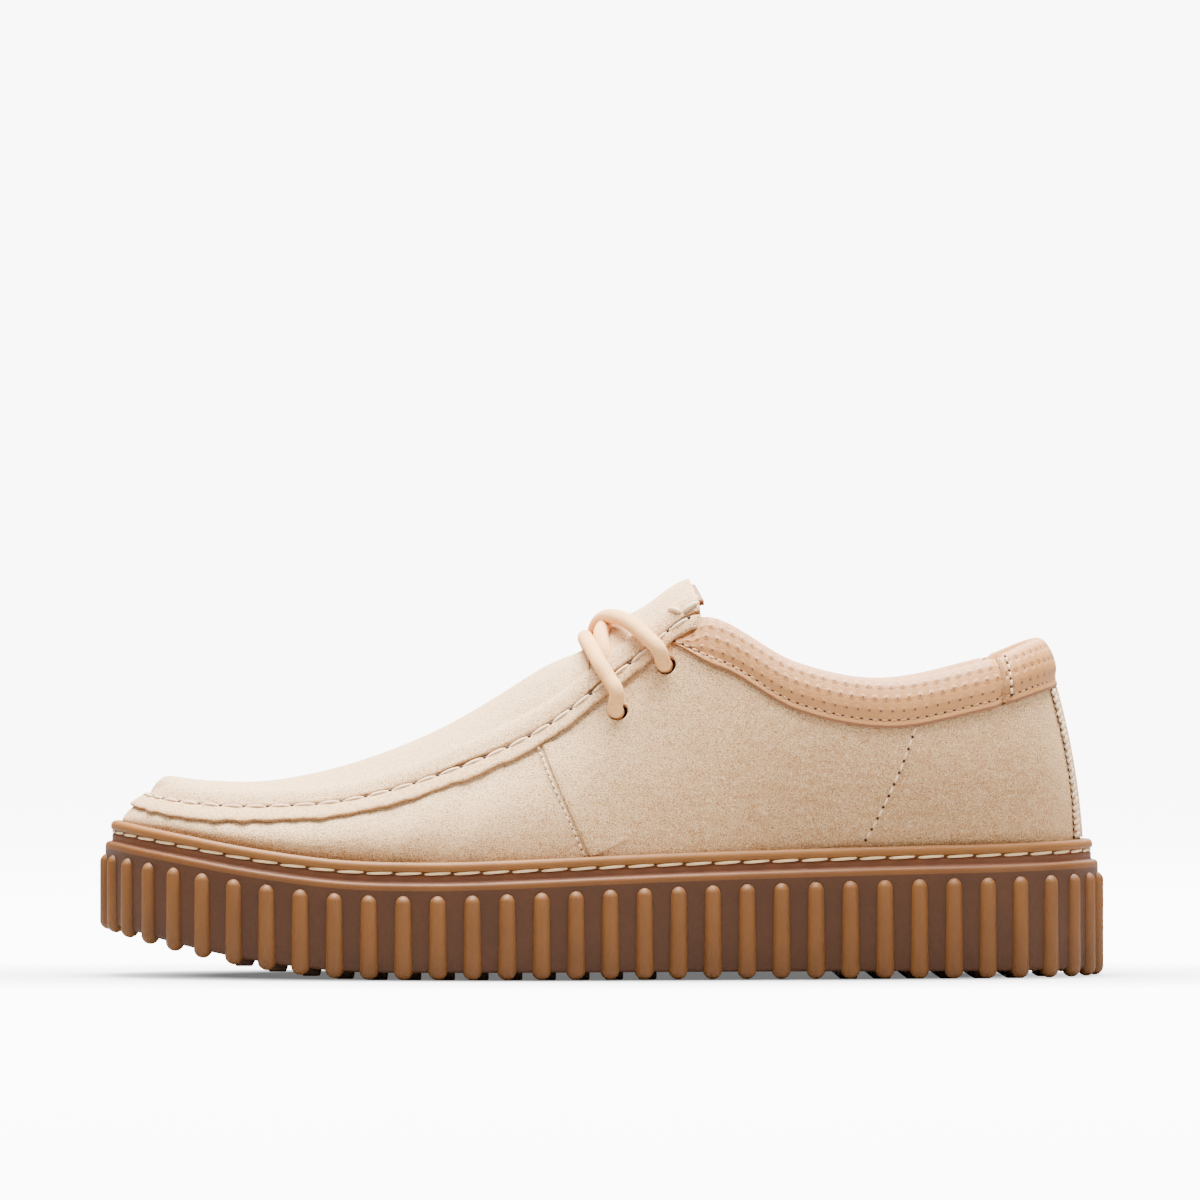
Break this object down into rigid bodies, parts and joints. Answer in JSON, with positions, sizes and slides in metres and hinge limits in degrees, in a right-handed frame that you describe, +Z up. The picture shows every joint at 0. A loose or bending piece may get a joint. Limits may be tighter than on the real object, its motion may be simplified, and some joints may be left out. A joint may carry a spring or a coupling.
{
  "type": "moc-toe lace-up shoe",
  "caption": "Low moc-toe lace-up shoe, left foot: suede upper with a hand-sewn apron seam, padded leather collar and a thick ribbed gum cupsole.",
  "frame": {"origin": "on the floor plane, at the middle of the centre lug under the heel", "axes": "+Z up, -X towards the toe, -Y towards the outer side of this left shoe"},
  "size_m": [0.3013, 0.1079, 0.1189],
  "materials": {
    "gum_rubber": "semi-matte gum rubber, slightly translucent at the rim",
    "footbed_leather": "matte footbed leather",
    "suede": "cream-beige suede with a short nap",
    "collar_leather": "smooth peach-tan leather with rows of fine pinholes",
    "lace_suede": "round suede lace"
  },
  "bodies": {
    "root": {"outsole": "gum_rubber", "insole": "footbed_leather", "upper": "suede", "moc_seam_lip": "suede", "collar_band_outer": "collar_leather", "collar_band_back": "collar_leather", "collar_band_inner": "collar_leather", "heel_seam_strip": "suede", "tongue": "suede", "lace_front_bar": "lace_suede", "lace_cross": "lace_suede"}
  },
  "joints": []
}
